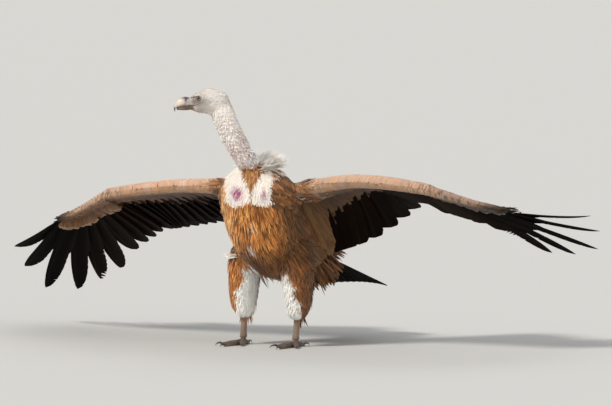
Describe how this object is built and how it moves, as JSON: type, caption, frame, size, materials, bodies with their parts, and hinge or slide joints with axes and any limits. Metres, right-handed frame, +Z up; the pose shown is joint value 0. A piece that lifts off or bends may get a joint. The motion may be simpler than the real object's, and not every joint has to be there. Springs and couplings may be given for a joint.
{
  "type": "griffon vulture",
  "caption": "Life-size still model of an adult griffon vulture standing with its wings half open and its head turned to one side.",
  "frame": {"origin": "middle of the whole bird's footprint, wings, bill and tail included, on the floor under it", "axes": "+X to the bird's left side, +Y behind its back, +Z up"},
  "size_m": [2.0022, 0.7866, 0.7779],
  "materials": {
    "body_plumage": "soft",
    "covert_plumage": "soft",
    "flight_plumage": "satin",
    "neck_down": "soft",
    "ruff_plumes": "soft",
    "leg_plumage": "soft",
    "bill_horn": "satin",
    "leg_skin": "matt",
    "claw_horn": "satin",
    "eye_gloss": "gloss"
  },
  "bodies": {
    "root": {"alula_left": "covert_plumage", "alula_right": "covert_plumage", "bill_lower": "bill_horn", "bill_upper": "bill_horn", "claw_hind_left": "claw_horn", "claw_hind_right": "claw_horn", "claw_inner_left": "claw_horn", "claw_inner_right": "claw_horn", "claw_middle_left": "claw_horn", "claw_middle_right": "claw_horn", "claw_outer_left": "claw_horn", "claw_outer_right": "claw_horn", "eye_left": "eye_gloss", "eye_right": "eye_gloss", "foot_left": "leg_skin", "foot_right": "leg_skin", "forearm_left": "covert_plumage", "forearm_right": "covert_plumage", "hand_left": "covert_plumage", "hand_right": "covert_plumage", "head": "neck_down", "neck": "neck_down", "primary_01_left": "flight_plumage", "primary_01_right": "flight_plumage", "primary_02_left": "flight_plumage", "primary_02_right": "flight_plumage", "primary_03_left": "flight_plumage", "primary_03_right": "flight_plumage", "primary_04_left": "flight_plumage", "primary_04_right": "flight_plumage", "primary_05_left": "flight_plumage", "primary_05_right": "flight_plumage", "primary_06_left": "flight_plumage", "primary_06_right": "flight_plumage", "primary_07_left": "flight_plumage", "primary_07_right": "flight_plumage", "primary_08_left": "flight_plumage", "primary_08_right": "flight_plumage", "primary_09_left": "flight_plumage", "primary_09_right": "flight_plumage", "primary_10_left": "flight_plumage", "primary_10_right": "flight_plumage", "ruff": "ruff_plumes", "secondaries_left": "flight_plumage", "secondaries_right": "flight_plumage", "shank_left": "leg_skin", "shank_right": "leg_skin", "tail": "flight_plumage", "tertials_left": "flight_plumage", "tertials_right": "flight_plumage", "thigh_left": "leg_plumage", "thigh_right": "leg_plumage", "trunk": "body_plumage", "upper_arm_left": "covert_plumage", "upper_arm_right": "covert_plumage"}
  },
  "joints": []
}
